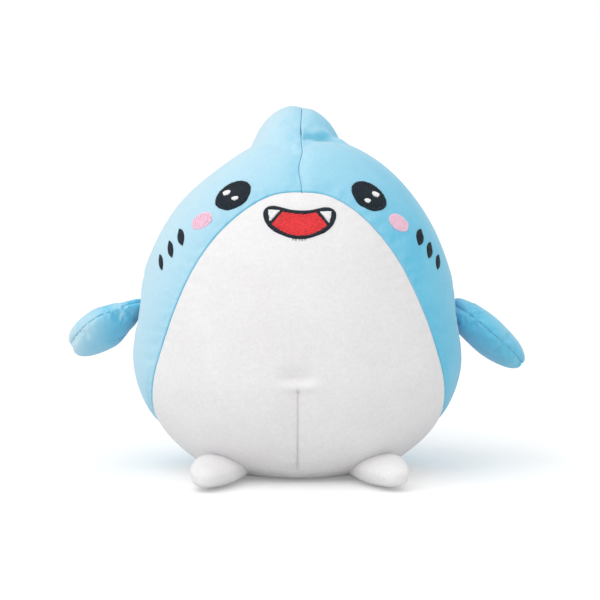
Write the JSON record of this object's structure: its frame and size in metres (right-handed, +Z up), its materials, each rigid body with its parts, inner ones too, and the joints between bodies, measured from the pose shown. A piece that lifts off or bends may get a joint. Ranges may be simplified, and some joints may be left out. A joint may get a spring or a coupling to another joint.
{
  "type": "plush shark",
  "caption": "Round stuffed toy shark that sits upright, with a dorsal fin, two soft side fins, a small tail, two stub feet and an embroidered smiling face.",
  "frame": {"origin": "centre of the bounding box's bottom, on the surface the toy sits on", "axes": "+Z up, the face looks towards -Y, +X from the toy's right-hand side fin to its left-hand one, so to the viewer's right"},
  "size_m": [0.2841, 0.2169, 0.2249],
  "materials": {
    "blue_plush": "short-pile light blue knitted plush",
    "white_plush": "short-pile white knitted plush",
    "stuffing": "loose white polyester fibre filling",
    "black_thread": "black satin-stitch embroidery thread, slight sheen",
    "white_thread": "white satin-stitch embroidery thread, slight sheen",
    "red_thread": "red satin-stitch embroidery thread, slight sheen",
    "pink_thread": "pink satin-stitch embroidery thread, slight sheen"
  },
  "bodies": {
    "body": {"body_stuffing": "stuffing", "belly_panel": "white_plush", "left_side_panel": "blue_plush", "right_side_panel": "blue_plush", "left_foot_cover": "white_plush", "left_foot_stuffing": "stuffing", "left_eye": "black_thread", "left_eye_glint_large": "white_thread", "left_eye_glint_small": "white_thread", "left_blush": "pink_thread", "left_gill_1": "black_thread", "left_gill_2": "black_thread", "left_gill_3": "black_thread", "left_tooth": "white_thread", "left_tooth_line": "black_thread", "right_foot_cover": "white_plush", "right_foot_stuffing": "stuffing", "right_eye": "black_thread", "right_eye_glint_large": "white_thread", "right_eye_glint_small": "white_thread", "right_blush": "pink_thread", "right_gill_1": "black_thread", "right_gill_2": "black_thread", "right_gill_3": "black_thread", "right_tooth": "white_thread", "right_tooth_line": "black_thread", "mouth_outline": "black_thread", "mouth_red": "red_thread"},
    "left_fin": {"left_fin_upper_panel": "blue_plush", "left_fin_lower_panel": "blue_plush", "left_fin_stuffing": "stuffing"},
    "right_fin": {"right_fin_upper_panel": "blue_plush", "right_fin_lower_panel": "blue_plush", "right_fin_stuffing": "stuffing"},
    "tail": {"tail_left_panel": "blue_plush", "tail_right_panel": "blue_plush", "tail_stuffing": "stuffing"}
  },
  "joints": [
    {"name": "left_fin_flap", "type": "hinge", "parent": "body", "child": "left_fin", "pos_m": [-0.1135, -0.0165, 0.091], "axis": [0, 1, 0], "range_deg": [-30, 55], "stiffness_Nm_per_rad": 0.04},
    {"name": "right_fin_flap", "type": "hinge", "parent": "body", "child": "right_fin", "pos_m": [0.1135, -0.0165, 0.091], "axis": [0, -1, 0], "range_deg": [-30, 55], "stiffness_Nm_per_rad": 0.04},
    {"name": "tail_wag", "type": "hinge", "parent": "body", "child": "tail", "pos_m": [0, 0.0743, 0.074], "axis": [0, 0, 1], "range_deg": [-30, 30], "stiffness_Nm_per_rad": 0.04}
  ]
}
